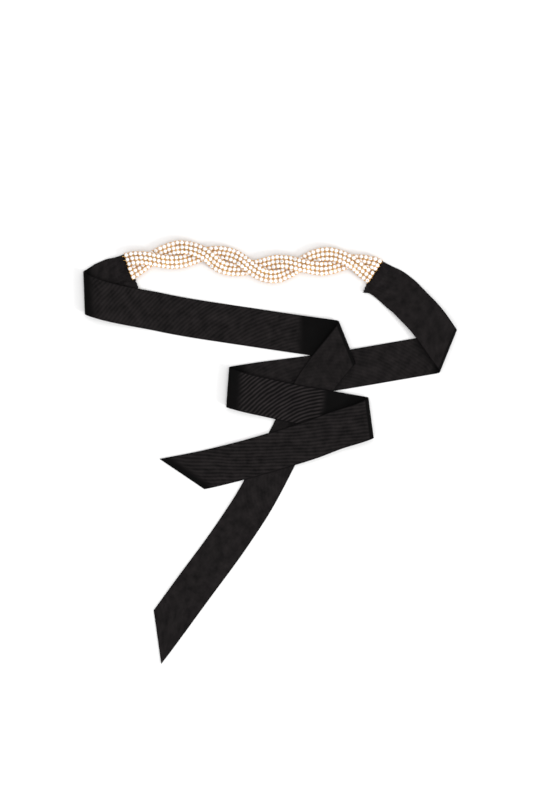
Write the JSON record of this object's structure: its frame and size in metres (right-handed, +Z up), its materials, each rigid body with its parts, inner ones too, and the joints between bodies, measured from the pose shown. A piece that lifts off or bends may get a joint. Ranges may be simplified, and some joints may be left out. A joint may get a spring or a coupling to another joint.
{
  "type": "headband",
  "caption": "Tie-on headband: a twisted band of round clear stones in gold cups, sewn at both ends to long black satin ribbons that lie folded over each other.",
  "frame": {"origin": "on the table, under the middle of the laid-out piece", "axes": "X runs along the crystal band, Y points from the ribbons' free ends towards the band, Z is up from the table"},
  "size_m": [0.3694, 0.4188, 0.0078],
  "materials": {
    "gold": "polished gold-coloured plating",
    "stone": "clear cut glass with a mirrored back",
    "ribbon": "black satin weave",
    "thread": "black sewing thread"
  },
  "bodies": {
    "headband": {"first_strand_net": "gold", "first_strand_cups_1": "gold", "first_strand_stones_1": "stone", "first_strand_cups_2": "gold", "first_strand_stones_2": "stone", "first_strand_cups_3": "gold", "first_strand_stones_3": "stone", "second_strand_net": "gold", "second_strand_cups_1": "gold", "second_strand_stones_1": "stone", "second_strand_cups_2": "gold", "second_strand_stones_2": "stone", "second_strand_cups_3": "gold", "second_strand_stones_3": "stone", "left_stitches": "thread", "left_ribbon": "ribbon", "right_stitches": "thread", "right_ribbon": "ribbon"},
    "left_tail": {"left_ribbon_tail": "ribbon"},
    "right_tail": {"right_ribbon_tail": "ribbon"}
  },
  "joints": [
    {"name": "left_tail_lift", "type": "hinge", "parent": "headband", "child": "left_tail", "pos_m": [-0.02229, -0.05886, 0.0005], "axis": [-0.8387, 0.5446, 0], "range_deg": [0, 80]},
    {"name": "right_tail_unfold", "type": "hinge", "parent": "headband", "child": "right_tail", "pos_m": [0.10004, 0.03473, 0.00325], "axis": [-0.1305, 0.9914, 0], "range_deg": [0, 170]}
  ]
}
